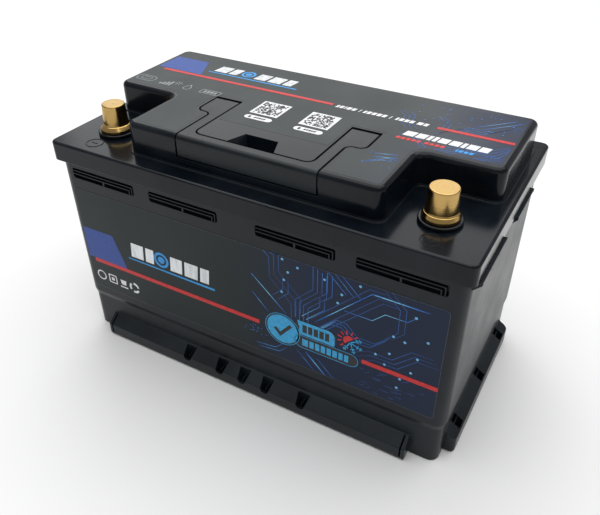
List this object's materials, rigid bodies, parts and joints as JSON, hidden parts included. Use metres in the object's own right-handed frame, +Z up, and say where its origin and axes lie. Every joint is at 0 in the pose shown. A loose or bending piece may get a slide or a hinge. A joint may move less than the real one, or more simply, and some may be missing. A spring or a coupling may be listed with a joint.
{
  "type": "deep cycle battery",
  "caption": "Sealed deep cycle battery in a moulded case with base hold-down ledges, a raised lid block, a folding carry handle and tapered brass posts.",
  "frame": {"origin": "centre of the underside of the case, on the surface it stands on", "axes": "+X along the long side towards the positive post, -Y out of the labelled long side, +Z up"},
  "size_m": [0.315, 0.175, 0.19],
  "materials": {
    "case_plastic": "satin moulded plastic, near black, fine grain",
    "handle_plastic": "satin moulded plastic, near black",
    "collar_plastic": "glossy black",
    "brass": "machined, fine turning marks",
    "steel": "zinc plated",
    "copper": "bare copper",
    "aluminium": "mill finish",
    "cell_wrap": "aluminium can in blue shrink film",
    "fibre_board": "glass fibre board",
    "circuit_board": "green solder mask",
    "label": "printed film, dark, semi-gloss",
    "rubber": "matt black",
    "sealant": "dull black bead",
    "foam": "closed cell foam",
    "red_cable": "red insulation",
    "black_cable": "black insulation",
    "strap": "woven polyester band"
  },
  "bodies": {
    "battery": {"case_tub": "case_plastic", "lid": "case_plastic", "lid_sealant": "sealant", "handle_pin_left": "steel", "handle_pin_right": "steel", "front_label": "label", "top_label": "label", "positive_post": "brass", "positive_collar": "collar_plastic", "positive_o_ring": "rubber", "positive_washer": "steel", "positive_lug": "copper", "positive_nut": "steel", "positive_tab": "copper", "negative_post": "brass", "negative_collar": "collar_plastic", "negative_o_ring": "rubber", "negative_washer": "steel", "negative_lug": "copper", "negative_nut": "steel", "negative_tab": "copper", "cell_1": "cell_wrap", "cell_2": "cell_wrap", "cell_3": "cell_wrap", "cell_4": "cell_wrap", "separator_1": "fibre_board", "series_busbar_1": "copper", "separator_2": "fibre_board", "series_busbar_2": "copper", "separator_3": "fibre_board", "series_busbar_3": "copper", "end_plate_front": "aluminium", "end_plate_rear": "aluminium", "pack_strap_1": "strap", "pack_strap_2": "strap", "busbar_nut_1": "steel", "busbar_nut_2": "steel", "busbar_nut_3": "steel", "busbar_nut_4": "steel", "busbar_nut_5": "steel", "busbar_nut_6": "steel", "busbar_nut_7": "steel", "busbar_nut_8": "steel", "bms_board": "circuit_board", "bms_heat_sink": "aluminium", "radio_module": "circuit_board", "bms_screw_1": "steel", "bms_screw_2": "steel", "bms_screw_3": "steel", "bms_screw_4": "steel", "positive_cable": "red_cable", "bms_cable": "black_cable", "negative_cable": "black_cable", "sense_harness": "red_cable", "base_foam": "foam", "end_foam": "foam", "top_insulator": "fibre_board"},
    "handle": {"carry_handle": "handle_plastic"}
  },
  "joints": [
    {"name": "handle_fold", "type": "hinge", "parent": "battery", "child": "handle", "pos_m": [0, -0.0155, 0.184], "axis": [-1, 0, 0], "range_deg": [0, 90]}
  ]
}
